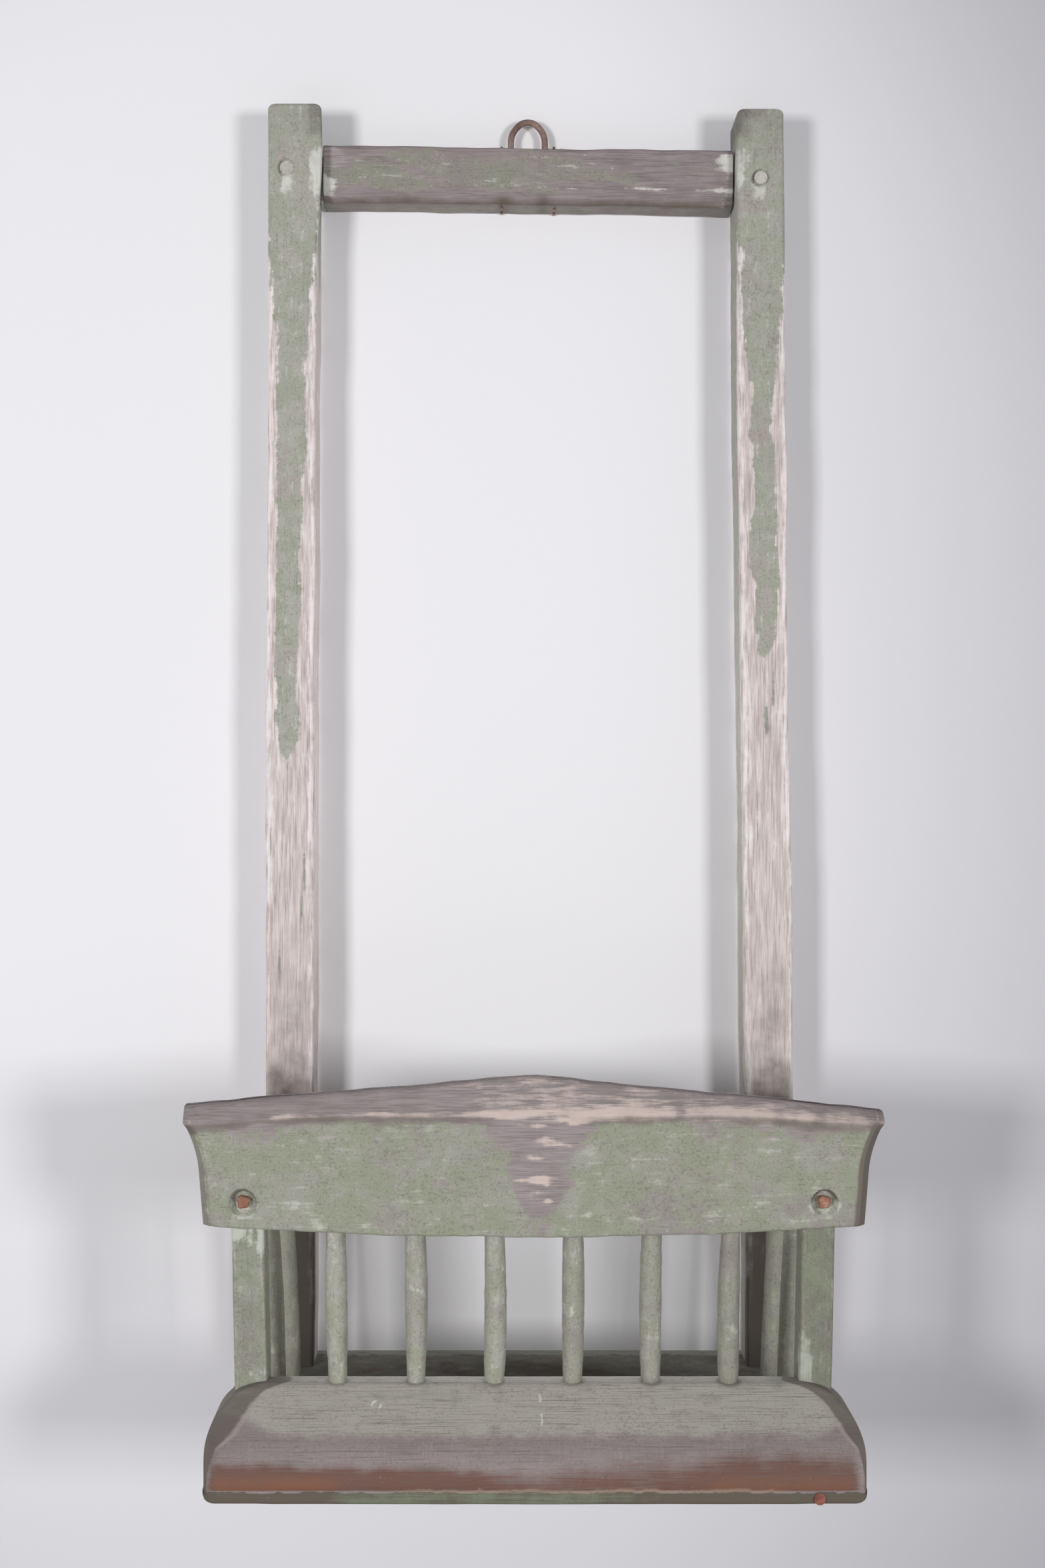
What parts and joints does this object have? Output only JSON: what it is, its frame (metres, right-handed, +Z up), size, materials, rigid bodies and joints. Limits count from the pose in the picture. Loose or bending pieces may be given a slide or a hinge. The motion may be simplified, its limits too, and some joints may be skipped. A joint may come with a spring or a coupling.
{
  "type": "child's hanging seat",
  "caption": "Child's wooden hanging seat: two tall hanger rails and a cross bar with a swinging iron ring, over a small seat with a rolled back edge, spindles and a bolted crest rail.",
  "frame": {"origin": "middle of the object's footprint, on the plane of the seat's flat underside", "axes": "+Z up along the hanger rails, +X across the seat, +Y towards the side that hangs against a wall"},
  "size_m": [0.423, 0.275, 0.893],
  "materials": {
    "sage_paint": "old matt sage green paint",
    "worn_rail": "paint worn to bare wood",
    "worn_seat": "paint worn to brown wood",
    "peg_wood": "whittled, painted over",
    "rusty_iron": "dry brown rust"
  },
  "bodies": {
    "seat_frame": {"back_spindle_1": "sage_paint", "back_spindle_2": "sage_paint", "back_spindle_3": "sage_paint", "back_spindle_4": "sage_paint", "back_spindle_5": "sage_paint", "back_spindle_6": "sage_paint", "side_spindle_left_1": "sage_paint", "side_spindle_left_2": "sage_paint", "side_spindle_right_1": "sage_paint", "side_spindle_right_2": "sage_paint", "arm_left": "sage_paint", "arm_right": "sage_paint", "back_post_left": "sage_paint", "back_post_right": "sage_paint", "crest_rail": "sage_paint", "top_cross_rail": "sage_paint", "hanger_rail_left": "worn_rail", "hanger_rail_right": "worn_rail", "seat_plank": "worn_seat", "seat_roll": "worn_seat", "arm_pegs_left": "peg_wood", "arm_pegs_right": "peg_wood", "cross_rail_peg_left": "peg_wood", "cross_rail_peg_right": "peg_wood", "rail_foot_peg_left": "peg_wood", "rail_foot_peg_right": "peg_wood", "roll_nails": "rusty_iron", "lip_nail": "rusty_iron", "ring_staple_left": "rusty_iron", "ring_staple_right": "rusty_iron", "crest_bolt_left": "rusty_iron", "crest_bolt_right": "rusty_iron", "bolt_washer_left": "rusty_iron", "bolt_washer_right": "rusty_iron", "bolt_nut_left": "rusty_iron", "bolt_nut_right": "rusty_iron"},
    "ring": {"hang_ring": "rusty_iron"}
  },
  "joints": [
    {"name": "ring_swing", "type": "hinge", "parent": "seat_frame", "child": "ring", "pos_m": [0, 0.128, 0.86955], "axis": [1, 0, 0], "range_deg": [-90, 90]}
  ]
}
